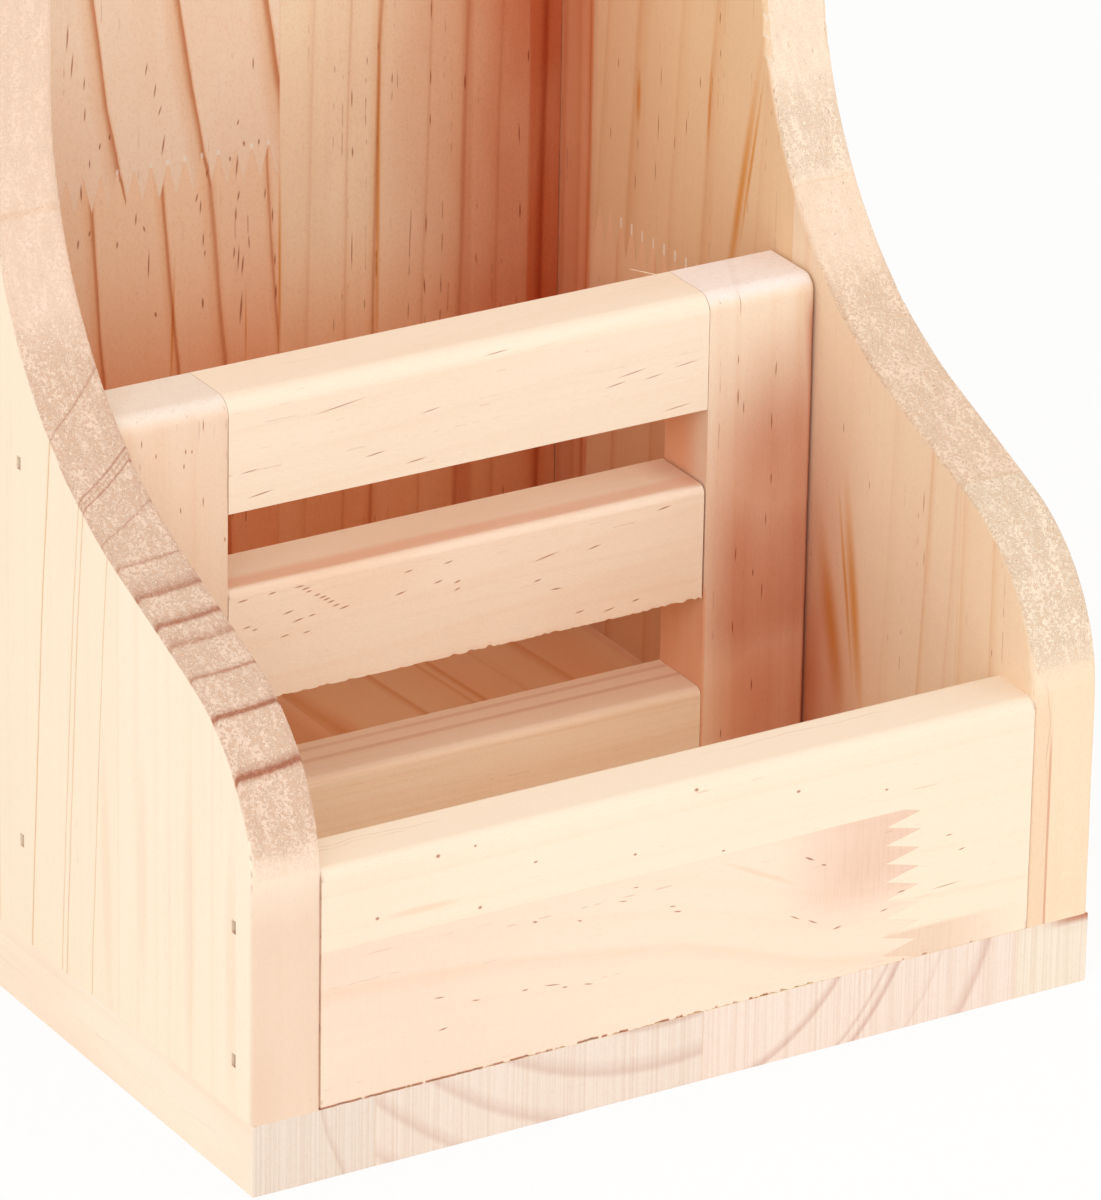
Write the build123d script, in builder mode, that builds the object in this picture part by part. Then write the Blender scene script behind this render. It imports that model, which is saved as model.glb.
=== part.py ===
from build123d import *
import os
from math import cos, radians, sin

# A wooden feeder for small animals. Two sides with an S-curved front edge, a back, a low front board
# and a slatted divider stand on a base board, all nailed with brads. The divider parts the feed
# trough in front from the hay compartment behind. Sizes are in millimetres, +Z is up and -Y is the
# front. The origin is in the middle of the underside.

# Whole feeder
overall_width = 152
overall_depth = 158
overall_height = 200

# Board thicknesses
base_thickness = 12
side_thickness = 12
back_thickness = 12
front_thickness = 12
divider_thickness = 13

# Front edge of a side, from the base up: upright, shoulder, slope, neck, riser and crown
side_front_height = 38
shoulder_radius = 31
slope_angle = 21.5
neck_radius = 66
riser_setback = 84.5
crown_radius = 10
side_ease_radius = 1

# Front board
front_board_height = 40
front_lip_radius = 2

# Slatted divider, its rails and slots listed from the base up
divider_setback = 65.8
divider_side_gap = 0.2
divider_top_radius = 3
divider_back_ease_radius = 0.5
stile_side_ease_radius = 1
stile_width = 20
bottom_rail_height = 20
lower_slot_height = 16
middle_rail_height = 19.8
upper_slot_height = 13.2
top_rail_height = 19.4
rail_end_gap = 0.25
rail_lip_radius = 1.5

# Brads, cut from flat wire, with a wider head, a chisel point and a close hole
brad_width = 1.2
brad_thickness = 1
brad_head_width = 2
brad_head_height = 0.8
brad_point_length = 1.6
brad_sink = 0.6
brad_fit = 0.1
board_brad_length = 25
rail_brad_length = 35

# Where the brads go: insets are from a board's edges, pitches from brad to brad
front_brad_inset = 8.8
divider_brad_low_inset = 17
divider_brad_high_inset = 7.1
divider_brad_back_inset = 4.5
back_brad_inset = 25
base_side_brad_inset = 22
base_front_brad_pitch = 60
base_back_brad_pitch = 40
rail_brad_front_inset = 4.5
rail_brad_pitch = 8

# Places that follow from the sizes
front_y = -overall_depth / 2
back_y = overall_depth / 2
back_panel_y = back_y - back_thickness
inner_half_width = overall_width / 2 - side_thickness
divider_front_y = front_y + divider_setback
divider_back_y = divider_front_y + divider_thickness
divider_middle_y = divider_front_y + divider_thickness / 2
divider_half_width = inner_half_width - divider_side_gap
rail_half_length = divider_half_width - stile_width - rail_end_gap
bottom_rail_z = base_thickness
middle_rail_z = bottom_rail_z + bottom_rail_height + lower_slot_height
top_rail_z = middle_rail_z + middle_rail_height + upper_slot_height
divider_top_z = top_rail_z + top_rail_height

sides = {"left": -1, "right": 1}
rails = {
    "bottom": (bottom_rail_z, bottom_rail_height),
    "middle": (middle_rail_z, middle_rail_height),
    "top": (top_rail_z, top_rail_height),
}
up_from_front_centre = (Align.CENTER, Align.MIN, Align.MIN)


def side_entry(side, y, z):
    """Where a brad enters the outer face of a side; side is -1 on the left and 1 on the right."""
    return Plane(origin=(side * overall_width / 2, y, z), x_dir=(0, 0, 1), z_dir=(side, 0, 0))


def stile_entry(side, z):
    """Where a brad enters the outer edge of a stile on its way into a rail."""
    y = divider_front_y + rail_brad_front_inset
    return Plane(origin=(side * divider_half_width, y, z), x_dir=(0, 0, 1), z_dir=(side, 0, 0))


def base_entry(x, y, along):
    """Where a brad enters the underside of the base, its head lying in the direction along."""
    return Plane(origin=(x, y, 0), x_dir=along, z_dir=(0, 0, -1))


def front_board_entries(side):
    """The brads through one side into the front board's end."""
    y = front_y + front_thickness / 2
    low = base_thickness + front_brad_inset
    high = base_thickness + front_board_height - front_brad_inset
    return [side_entry(side, y, z) for z in (low, high)]


def divider_entries(side):
    """The brads through one side into the divider's stile."""
    y = divider_back_y - divider_brad_back_inset
    low = base_thickness + divider_brad_low_inset
    high = divider_top_z - divider_brad_high_inset
    return [side_entry(side, y, z) for z in (low, high)]


def back_panel_entries(side):
    """The brads through one side into the back panel's edge."""
    y = back_y - back_thickness / 2
    low = base_thickness + back_brad_inset
    high = overall_height - back_brad_inset
    return [side_entry(side, y, z) for z in (low, (low + high) / 2, high)]


def rail_entries(side, rail):
    """The brads through one stile into the end of a rail."""
    bottom, height = rails[rail]
    middle = bottom + height / 2
    return [stile_entry(side, middle + shift) for shift in (-rail_brad_pitch / 2, rail_brad_pitch / 2)]


def base_side_entries(side):
    """The brads up through the base into one side."""
    x = side * (overall_width - side_thickness) / 2
    places = (front_y + base_side_brad_inset, 0, back_y - base_side_brad_inset)
    return [base_entry(x, y, (0, 1, 0)) for y in places]


def base_front_entries():
    """The brads up through the base into the front board."""
    y = front_y + front_thickness / 2
    places = (-base_front_brad_pitch / 2, base_front_brad_pitch / 2)
    return [base_entry(x, y, (1, 0, 0)) for x in places]


def base_back_entries():
    """The brads up through the base into the back panel."""
    y = back_y - back_thickness / 2
    places = (-base_back_brad_pitch, 0, base_back_brad_pitch)
    return [base_entry(x, y, (1, 0, 0)) for x in places]


def make_brad(length):
    """A brad that hangs point down from the origin, with the top of its head sunk below it."""
    head_top = -brad_sink
    head_bottom = head_top - brad_head_height
    point = head_top - length
    with BuildPart() as brad:
        with BuildSketch(Plane.XZ):
            with BuildLine():
                Polyline(
                    (0, head_top),
                    (brad_head_width / 2, head_top),
                    (brad_head_width / 2, head_bottom),
                    (brad_width / 2, head_bottom),
                    (brad_width / 2, point + brad_point_length),
                    (0, point),
                    close=True,
                )
            make_face()
            mirror(about=Plane.YZ)
        extrude(amount=brad_thickness / 2, both=True)
    return brad.part


def cut_brad_holes(entries, length):
    """Cut the holes that brads of one length go through, wide enough for the head near the face."""
    deep = brad_sink + length + brad_fit
    shallow = brad_sink + brad_head_height + brad_fit
    across = brad_thickness + 2 * brad_fit
    down = (Align.CENTER, Align.CENTER, Align.MAX)
    with Locations(*entries):
        Box(brad_width + 2 * brad_fit, across, deep, align=down, mode=Mode.SUBTRACT)
        Box(brad_head_width + 2 * brad_fit, across, shallow, align=down, mode=Mode.SUBTRACT)


def side_outline():
    """The outline of a side, from the base up the curved front edge and round, depth by height."""
    turn = 90 - slope_angle
    slope_run = riser_setback - (shoulder_radius + neck_radius) * (1 - sin(radians(slope_angle)))
    with BuildSketch() as outline:
        with BuildLine():
            upright = Line((front_y, base_thickness), (front_y, base_thickness + side_front_height))
            shoulder = JernArc(upright @ 1, (0, 1), shoulder_radius, -turn)
            slope = PolarLine(shoulder @ 1, slope_run / cos(radians(slope_angle)), slope_angle)
            neck = JernArc(slope @ 1, slope % 1, neck_radius, turn)
            riser = Line(neck @ 1, (front_y + riser_setback, overall_height - crown_radius))
            crown = JernArc(riser @ 1, (0, 1), crown_radius, -90)
            Polyline(
                crown @ 1,
                (back_y, overall_height),
                (back_y, base_thickness),
                upright @ 0,
            )
        make_face()
    return outline.sketch


os.makedirs("parts", exist_ok=True)

board_brad = make_brad(board_brad_length)
rail_brad = make_brad(rail_brad_length)

# Base board
with BuildPart() as base_board:
    with Locations((0, front_y, 0)):
        Box(overall_width, overall_depth, base_thickness, align=up_from_front_centre)
    cut_brad_holes(base_side_entries(-1), board_brad_length)
    cut_brad_holes(base_side_entries(1), board_brad_length)
    cut_brad_holes(base_front_entries(), board_brad_length)
    cut_brad_holes(base_back_entries(), board_brad_length)
base_board.part.label = "base_board"
export_step(base_board.part, "parts/base_board.step")

# Side panels
for name, side in sides.items():
    with BuildPart() as side_panel:
        with BuildSketch(Plane.YZ.offset(side * (overall_width - side_thickness) / 2)):
            add(side_outline())
        extrude(amount=side_thickness / 2, both=True)
        arrises = side_panel.faces().filter_by(Axis.X).edges()
        on_base = arrises.group_by(Axis.Z)[0]
        at_back = arrises.group_by(Axis.Y)[-1]
        fillet(arrises - on_base - at_back, radius=side_ease_radius)
        cut_brad_holes(front_board_entries(side), board_brad_length)
        cut_brad_holes(divider_entries(side), board_brad_length)
        cut_brad_holes(back_panel_entries(side), board_brad_length)
        cut_brad_holes(base_side_entries(side), board_brad_length)
    side_panel.part.label = f"{name}_side_panel"
    export_step(side_panel.part, f"parts/{name}_side_panel.step")

# Back panel
with BuildPart() as back_panel:
    with Locations((0, back_panel_y, base_thickness)):
        height = overall_height - base_thickness
        Box(2 * inner_half_width, back_thickness, height, align=up_from_front_centre)
    top_edges = back_panel.faces().sort_by(Axis.Z)[-1].edges().filter_by(Axis.X)
    fillet(top_edges, radius=side_ease_radius)
    cut_brad_holes(back_panel_entries(-1), board_brad_length)
    cut_brad_holes(back_panel_entries(1), board_brad_length)
    cut_brad_holes(base_back_entries(), board_brad_length)
back_panel.part.label = "back_panel"
export_step(back_panel.part, "parts/back_panel.step")

# Front board
with BuildPart() as front_board:
    with Locations((0, front_y, base_thickness)):
        Box(2 * inner_half_width, front_thickness, front_board_height, align=up_from_front_centre)
    lip_edges = front_board.faces().sort_by(Axis.Z)[-1].edges().filter_by(Axis.X)
    fillet(lip_edges, radius=front_lip_radius)
    cut_brad_holes(front_board_entries(-1), board_brad_length)
    cut_brad_holes(front_board_entries(1), board_brad_length)
    cut_brad_holes(base_front_entries(), board_brad_length)
front_board.part.label = "front_board"
export_step(front_board.part, "parts/front_board.step")

# Divider stiles
for name, side in sides.items():
    with BuildPart() as stile:
        with Locations((side * (divider_half_width - stile_width / 2), divider_front_y, base_thickness)):
            height = divider_top_z - base_thickness
            Box(stile_width, divider_thickness, height, align=up_from_front_centre)
        top_edges = stile.faces().sort_by(Axis.Z)[-1].edges().filter_by(Axis.X).sort_by(Axis.Y)
        fillet(top_edges[0], radius=divider_top_radius)
        outer_edges = stile.faces().sort_by(Axis.X)[-1 if side > 0 else 0].edges()
        on_base = outer_edges.group_by(Axis.Z)[0]
        at_back = outer_edges.group_by(Axis.Y)[-1]
        fillet(outer_edges - on_base - at_back, radius=stile_side_ease_radius)
        top_edges = stile.faces().sort_by(Axis.Z)[-1].edges().filter_by(Axis.X).sort_by(Axis.Y)
        fillet(top_edges[-1], radius=divider_back_ease_radius)
        cut_brad_holes(divider_entries(side), board_brad_length)
        for rail in rails:
            cut_brad_holes(rail_entries(side, rail), rail_brad_length)
    stile.part.label = f"divider_{name}_stile"
    export_step(stile.part, f"parts/divider_{name}_stile.step")

# Divider rails
for rail, (bottom, rail_height) in rails.items():
    with BuildPart() as slat:
        with Locations((0, divider_front_y, bottom)):
            Box(2 * rail_half_length, divider_thickness, rail_height, align=up_from_front_centre)
        top_edges = slat.faces().sort_by(Axis.Z)[-1].edges().filter_by(Axis.X).sort_by(Axis.Y)
        if rail == "top":
            fillet(top_edges[0], radius=divider_top_radius)
            fillet(top_edges[-1], radius=divider_back_ease_radius)
        else:
            fillet(top_edges[0], radius=rail_lip_radius)
        cut_brad_holes(rail_entries(-1, rail), rail_brad_length)
        cut_brad_holes(rail_entries(1, rail), rail_brad_length)
    slat.part.label = f"divider_{rail}_rail"
    export_step(slat.part, f"parts/divider_{rail}_rail.step")

# Brads through the sides
for name, side in sides.items():
    groups = {
        "front_board": front_board_entries(side),
        "divider": divider_entries(side),
        "back_panel": back_panel_entries(side),
    }
    for board, entries in groups.items():
        with BuildPart() as side_brads:
            with Locations(*entries):
                add(board_brad)
        side_brads.part.label = f"{board}_brads_{name}"
        export_step(side_brads.part, f"parts/{board}_brads_{name}.step")

# Brads through the base
base_groups = {
    "left_side": base_side_entries(-1),
    "right_side": base_side_entries(1),
    "front_board": base_front_entries(),
    "back_panel": base_back_entries(),
}
for board, entries in base_groups.items():
    with BuildPart() as base_brads:
        with Locations(*entries):
            add(board_brad)
    base_brads.part.label = f"base_brads_{board}"
    export_step(base_brads.part, f"parts/base_brads_{board}.step")

# Brads through the stiles into the rails
for rail in rails:
    with BuildPart() as rail_brads:
        with Locations(*rail_entries(-1, rail), *rail_entries(1, rail)):
            add(rail_brad)
    rail_brads.part.label = f"{rail}_rail_brads"
    export_step(rail_brads.part, f"parts/{rail}_rail_brads.step")
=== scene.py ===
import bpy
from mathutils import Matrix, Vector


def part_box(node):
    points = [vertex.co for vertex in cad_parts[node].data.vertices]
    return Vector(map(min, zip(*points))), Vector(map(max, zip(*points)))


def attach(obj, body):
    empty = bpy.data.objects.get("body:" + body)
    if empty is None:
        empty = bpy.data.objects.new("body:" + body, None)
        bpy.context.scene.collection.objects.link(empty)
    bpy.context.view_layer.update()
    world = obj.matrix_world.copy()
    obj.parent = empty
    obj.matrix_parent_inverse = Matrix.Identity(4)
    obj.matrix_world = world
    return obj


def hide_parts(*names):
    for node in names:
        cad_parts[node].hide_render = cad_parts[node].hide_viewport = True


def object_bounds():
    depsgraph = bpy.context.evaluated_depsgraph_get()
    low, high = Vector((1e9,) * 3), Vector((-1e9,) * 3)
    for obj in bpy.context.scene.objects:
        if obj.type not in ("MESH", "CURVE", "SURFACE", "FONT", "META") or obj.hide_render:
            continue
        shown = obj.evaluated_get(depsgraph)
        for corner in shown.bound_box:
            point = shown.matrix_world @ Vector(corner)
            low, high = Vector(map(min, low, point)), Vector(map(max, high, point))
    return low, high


bl_info = {
    "name": "Pine Feeder",
    "version": (1, 0, 0),
    "blender": (4, 5, 0),
    "location": "3D View > Sidebar > Feeder",
    "description": "Dresses a small animal feeder in sanded pine and sets it on a pale stage",
    "category": "Object",
}

from math import cos, hypot, radians, sin
from typing import NamedTuple

import bmesh
import bpy
from mathutils import Matrix, Vector, noise

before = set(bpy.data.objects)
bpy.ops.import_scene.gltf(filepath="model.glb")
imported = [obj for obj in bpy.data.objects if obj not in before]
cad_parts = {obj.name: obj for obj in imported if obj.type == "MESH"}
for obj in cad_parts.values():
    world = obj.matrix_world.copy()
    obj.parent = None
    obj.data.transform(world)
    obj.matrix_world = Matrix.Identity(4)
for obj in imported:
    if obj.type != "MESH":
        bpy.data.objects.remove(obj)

MM = 0.001
BODY = "root"
CAD_LOW, CAD_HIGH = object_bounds()

# Faces that the photograph shows, in millimetres
FRONT = CAD_LOW.y / MM
OUTER_LEFT = CAD_LOW.x / MM
INNER_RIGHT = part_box("right_side_panel")[0].x / MM
BASE_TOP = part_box("base_board")[1].z / MM
BACK_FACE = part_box("back_panel")[0].y / MM
DIVIDER_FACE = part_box("divider_top_rail")[0].y / MM


# Node wrappers


class Socket:
    """An output of a node. Arithmetic on it adds Math nodes."""

    def __init__(self, nodes, output):
        self.nodes = nodes
        self.output = output

    def other(self, name):
        """Another output of the same node."""
        return Socket(self.nodes, self.output.node.outputs[name])

    def math(self, operation, *values):
        return self.nodes.add("ShaderNodeMath", {"operation": operation}, dict(enumerate(values)))

    def __add__(self, other):
        return self.math("ADD", self, other)

    __radd__ = __add__

    def __sub__(self, other):
        return self.math("SUBTRACT", self, other)

    def __rsub__(self, other):
        return self.math("SUBTRACT", other, self)

    def __mul__(self, other):
        return self.math("MULTIPLY", self, other)

    __rmul__ = __mul__

    def __truediv__(self, other):
        return self.math("DIVIDE", self, other)

    def __abs__(self):
        return self.math("ABSOLUTE", self)

    def least(self, other):
        return self.math("MINIMUM", self, other)

    def most(self, other):
        return self.math("MAXIMUM", self, other)


class Nodes:
    """The nodes of one material or of the world."""

    def __init__(self, owner):
        owner.use_nodes = True
        self.owner = owner
        self.tree = owner.node_tree
        self.tree.nodes.clear()

    def add(self, kind, settings=None, values=None, output=0):
        """Add a node, with its settings first and then values or links for its sockets."""
        node = self.tree.nodes.new(kind)
        for key, value in (settings or {}).items():
            if key == "stops":
                self.set_stops(node.color_ramp, value)
            elif key == "interpolation":
                node.color_ramp.interpolation = value
            else:
                setattr(node, key, value)
        for key, value in (values or {}).items():
            if isinstance(value, Socket):
                self.tree.links.new(value.output, node.inputs[key])
            else:
                node.inputs[key].default_value = value
        return Socket(self, node.outputs[output]) if node.outputs else None

    def set_stops(self, ramp, stops):
        """Give a colour ramp its stops, each a place and a colour."""
        while len(ramp.elements) < len(stops):
            ramp.elements.new(1.0)
        for element, (place, shade) in zip(ramp.elements, stops):
            element.position = place
            element.color = (*shade, 1)

    def vector(self, x, y, z):
        return self.add("ShaderNodeCombineXYZ", values={0: x, 1: y, 2: z})

    def stretch(self, vector, x, y, z):
        """Divide a vector's parts, which makes a pattern on it that many times as long."""
        values = {0: vector, 1: (1 / x, 1 / y, 1 / z)}
        return self.add("ShaderNodeVectorMath", {"operation": "MULTIPLY"}, values)

    def smooth(self, value, low, high, start=0.0, end=1.0):
        """Go smoothly from start to end as value goes from low to high."""
        values = {0: value, 1: low, 2: high, 3: start, 4: end}
        return self.add("ShaderNodeMapRange", {"interpolation_type": "SMOOTHSTEP"}, values)

    def noise(self, place, detail=1.0, rough=0.5):
        values = {"Vector": place, "Scale": 1.0, "Detail": detail, "Roughness": rough}
        return self.add("ShaderNodeTexNoise", {"noise_dimensions": "3D"}, values)

    def mix(self, share, first, second, blend="MIX"):
        """Mix two colours."""
        settings = {"data_type": "RGBA", "blend_type": blend, "clamp_factor": True}
        return self.add("ShaderNodeMix", settings, {0: share, 6: first, 7: second}, output=2)

    def stain(self, share, wood, tone):
        """Multiply wood by a colour property, as far as share says."""
        return self.mix(share, wood, colour(tone), "MULTIPLY")


# Pine

# How far the grain sways across a board: slowly, quickly and in its fibres
SLOW_SWAY = 2.4
QUICK_SWAY = 0.9
FIBRE_SWAY = 0.22

# How far apart the resin canals run, and how far they dip through a face
CANAL_PITCH = 2.1
CANAL_DIP = 2.4

# How strongly placed flecks, the painted shade of chipped edges, glue lines and the finest fibres show
FLECK_SHARE = 0.85
CHIP_SHADE_SHARE = 0.9
GLUE_LINE_SHARE = 0.35
FINE_SHARE = 0.14

# The relief's weights and depth, and how rough and how glossy the wood is
TORN_RELIEF = 3.0
SAW_RELIEF = 0.8
RELIEF_STRENGTH = 0.6
RELIEF_DEPTH = 0.14 * MM
ROUGHNESS = 0.56
SPECULAR = 0.2


class Ring(NamedTuple):
    """A dark ring of late wood: where it meets the shown face, and how it fades and shows.

    It darkens over fade, stays dark over wide and ends within edge. face and end are how dark it
    is on faces and on end grain.
    """

    place: float
    fade: float = 1.5
    face: float = 0.5
    end: float = 0.5
    edge: float = 0.5
    wide: float = 0.0


class Block(NamedTuple):
    """A block of pine in a board glued up from several, in millimetres.

    across is where it starts across the board, and along where it starts past a finger joint. pith
    is the middle of its tree, across and through the board. rings are rows of Ring's values.
    wander says how far the grain has moved across the board at places along it. tint colours its
    faces and ends its end grain.
    """

    across: float
    pith: tuple
    rings: tuple
    wander: tuple = ((0, 0), (1, 0))
    tint: tuple = (1, 1, 1)
    ends: tuple = None
    along: float = None


class Board(NamedTuple):
    """How a board is cut: grain names the axes along, across and through it, in that order.

    shown is where its seen face lies through it. joint is the pitch, the length and the shift
    of the fingers of its joints. flecks, streaks and blushes are rows for Timber.marks, and
    heart_and_shade_zones, orange_and_shade_zones and coarse are zones for Timber.zone_share: the
    first two darken the wood with red heartwood and orange wood, and with painted shade deep in
    the box. split is the height and the two ends of an edge that the saw chipped, painted dark
    as shade in its chips. cut says how far a face has to turn towards the grain to show end grain,
    and upright above what height the front edge does.
    """

    grain: str
    shown: float
    blocks: tuple
    joint: tuple = (3.13, 6.3, 0.3)
    flank: float = 0.0
    flecks: tuple = ()
    streaks: tuple = ()
    blushes: tuple = ()
    heart_and_shade_zones: tuple = ()
    orange_and_shade_zones: tuple = ()
    canals: float = 0.6
    sawn: float = 0.0
    mottle: float = 0.5
    streaky: float = 0.3
    grit: float = 0.3
    drift: float = 1.0
    blush: float = 0.6
    end_tint: tuple = (0.90, 0.82, 0.78)
    cut: tuple = (0.25, 0.85)
    upright: float = None
    rim: float = 0.3
    torn: float = 0.3
    coarse: tuple = ()
    tips: float = 0.6
    tip_length: float = 0.8
    glue: tuple = ()
    split: tuple = ()
    planed: float = 0.0


def even(first, last, pitch, **ring):
    """Rings at an even pitch, for wood that the photograph doesn't show."""
    count = int(abs(last - first) / pitch) + 1
    step = pitch if last > first else -pitch
    return tuple(Ring(first + i * step, **ring) for i in range(count))


class Timber:
    """The wood of one board, put together in nodes as the board says."""

    def __init__(self, name, board):
        self.board = board
        self.look = bpy.context.scene.feeder_pine
        self.nodes = nodes = Nodes(bpy.data.materials.new(name))
        place = nodes.add("ShaderNodeTexCoord", output="Object")
        self.place = nodes.add("ShaderNodeVectorMath", {"operation": "SCALE"}, {0: place, 3: 1 / MM})
        parts = nodes.add("ShaderNodeSeparateXYZ", values={0: self.place})
        self.along, self.across, self.through = (parts.other(axis) for axis in board.grain)
        self.log = nodes.vector(self.across, self.through, self.along)
        self.face = nodes.vector(self.along, self.across, 0.0)

        # The grain's own waviness, from the length of a board down to single fibres
        slow = self.noise(24, 24, 120)
        self.quick = self.noise(4, 4, 38, 2)
        self.fibre = self.noise(0.5, 0.5, 9, 2, 0.6)
        drift = ((slow - 0.5) * SLOW_SWAY + (self.quick - 0.5) * QUICK_SWAY) * board.drift
        self.wavy = self.across + drift + (self.fibre - 0.5) * FIBRE_SWAY

        self.end = self.end_grain()
        self.patchy = self.noise(7, 7, 24, 2)
        self.masks, self.tips, self.flank = self.block_masks()
        self.measures = {axis: parts.other(axis) for axis in "XYZ"}
        if self.masks:
            self.measures["joint"] = self.masks[0]

    def noise(self, across, through, along, detail=1.0, rough=0.5):
        """Noise in blobs of a size in millimetres."""
        return self.nodes.noise(self.nodes.stretch(self.log, across, through, along), detail, rough)

    def end_grain(self):
        """One where a face shows end grain, and none where it lies along the grain."""
        nodes, board = self.nodes, self.board
        geometry = nodes.add("ShaderNodeNewGeometry", output="Normal")
        facing = nodes.add("ShaderNodeSeparateXYZ", values={0: geometry})
        end = nodes.smooth(abs(facing.other(board.grain[0])), *board.cut)
        if board.upright:
            # The front edge is sawn across the grain's slope even where it stands upright
            edge = nodes.smooth(abs(facing.other(board.grain[2])), 0.8, 0.4)
            edge = edge * nodes.smooth(facing.other(board.grain[1]), 0.3, -0.3)
            end = end.most(edge * nodes.smooth(self.along, board.upright, board.upright + 4))
        return end

    def block_masks(self):
        """For each block after the first, how far a place is in it, and the finger joint's marks.

        The marks are the white glue at the tips of the fingers and the dark lines down their
        flanks.
        """
        nodes, board, across, patchy = self.nodes, self.board, self.across, self.patchy
        seam = 0.08
        slope = 0.4
        pitch, reach, shift = board.joint
        wave = across.math("PINGPONG", across - shift, pitch / 2) / (pitch / 2)
        masks = []
        tips = flank = None
        for block in board.blocks[1:]:
            mask = nodes.smooth(across, block.across - seam, block.across + seam)
            if block.along is not None:
                past = self.along - wave * reach
                mask = mask * nodes.smooth(past, block.along - slope, block.along + slope)
                half = board.tip_length / 2
                end = abs(self.along - (block.along + reach - half + 0.3))
                tips = nodes.smooth(wave, 0.76, 0.9) * nodes.smooth(end, half + 0.2, half - 0.2)
                tips = tips * nodes.smooth(across, block.across - seam, block.across)
                tips = tips * nodes.smooth(patchy, 0.35, 0.6)
                flank = mask * (1 - mask) * (4 * board.flank) * nodes.smooth(patchy, 0.7, 0.4)
            elif tips is not None:
                tips = tips * (1 - mask)
                flank = flank * (1 - mask)
            masks.append(mask)
        return masks, tips, flank

    def wandered(self, block):
        """The place across the board, followed back along the block's drifting grain."""
        starts = [place for place, _ in block.wander]
        drifts = [drift for _, drift in block.wander]
        low, high = min(starts), max(starts)
        least, most = min(drifts), max(drifts)
        if most == least:
            return self.wavy
        span = most - least
        stops = [
            ((place - low) / (high - low), 3 * ((drift - least) / span,))
            for place, drift in block.wander
        ]
        settings = {"stops": stops, "interpolation": "B_SPLINE"}
        share = (self.along - low) / (high - low)
        ramp = self.nodes.add("ShaderNodeValToRGB", settings, {0: share})
        return self.wavy - (ramp * span + least)

    def ring_strengths(self, block):
        """How dark a block's rings are on a face and on end grain, as a colour's red and green.

        Its blue rises to one in the middle of each ring.
        """
        nodes = self.nodes
        pith_across, pith_through = block.pith
        place = nodes.vector(self.wandered(block) - pith_across, self.through - pith_through, 0.0)
        radius = nodes.add(
            "ShaderNodeVectorMath", {"operation": "LENGTH"}, {0: place}, output="Value"
        )
        depth = self.board.shown - pith_through
        reach = {Ring(*row): hypot(row[0] - pith_across, depth) for row in block.rings}
        rings = sorted(reach, key=reach.get)
        low = reach[rings[0]] - rings[0].fade - 1
        span = reach[rings[-1]] + rings[-1].wide + 2 - low
        stops = []
        last = 0.0
        for ring in rings:
            at = (reach[ring] - low) / span
            stops.append((max(at - ring.fade / span, last), (0, 0, 0)))
            stops.append((at, (ring.face, ring.end, 1)))
            if ring.wide:
                at += ring.wide / span
                stops.append((at, (ring.face, ring.end, 1)))
            last = at + ring.edge / span
            stops.append((last, (0, 0, 0)))
        return nodes.add("ShaderNodeValToRGB", {"stops": stops}, {0: (radius - low) / span})

    def grown(self):
        """The early wood on faces and on end grain, and the strengths of the rings in it."""
        nodes, board, early = self.nodes, self.board, self.look.early
        first = board.blocks[0]
        rings = self.ring_strengths(first)
        side = tinted(early, first.tint)
        cut = tinted(early, first.ends or board.end_tint)
        for mask, block in zip(self.masks, board.blocks[1:]):
            rings = nodes.mix(mask, rings, self.ring_strengths(block))
            side = nodes.mix(mask, side, tinted(early, block.tint))
            cut = nodes.mix(mask, cut, tinted(early, block.ends or board.end_tint))
        return side, cut, rings

    def marks(self, places, soft):
        """Soft-edged spots on a face, from a list of (along, across, length, width, angle)."""
        nodes = self.nodes
        nearest = None
        for along, across, length, width, angle in places:
            values = {
                0: self.face,
                1: (along, across, 0),
                2: (0, 0, radians(angle)),
                3: (length / 2, width / 2, 1),
            }
            spot = nodes.add("ShaderNodeMapping", {"vector_type": "TEXTURE"}, values)
            away = nodes.add(
                "ShaderNodeVectorMath", {"operation": "LENGTH"}, {0: spot}, output="Value"
            )
            nearest = away if nearest is None else nearest.least(away)
        return nodes.smooth(nearest, 1.0, soft)

    def zone_share(self, zones):
        """How much the zones show, darker wood and painted shade, from zones that are each a strength
        and some ramps.

        A ramp names a measure, an axis or the share past a finger joint, and where it starts and
        ends.
        """
        share = None
        for strength, *ramps in zones:
            zone = strength
            for measure, start, full in ramps:
                zone = zone * self.nodes.smooth(self.measures[measure], start, full)
            share = zone if share is None else share.most(zone)
        return share

    def coloured(self):
        """Early wood with its blotches, end grain, orange and red wood with painted shade in the box's
        depths, streaks and late wood.
        """
        nodes, board, look, end = self.nodes, self.board, self.look, self.end
        side, cut, rings = self.grown()
        strengths = nodes.add("ShaderNodeSeparateColor", values={0: rings})
        on_face = strengths.other("Red")
        late = on_face + (strengths.other("Green") - on_face) * end
        rim = nodes.smooth(strengths.other("Blue"), 0.6, 0.97) * late * board.rim

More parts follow.
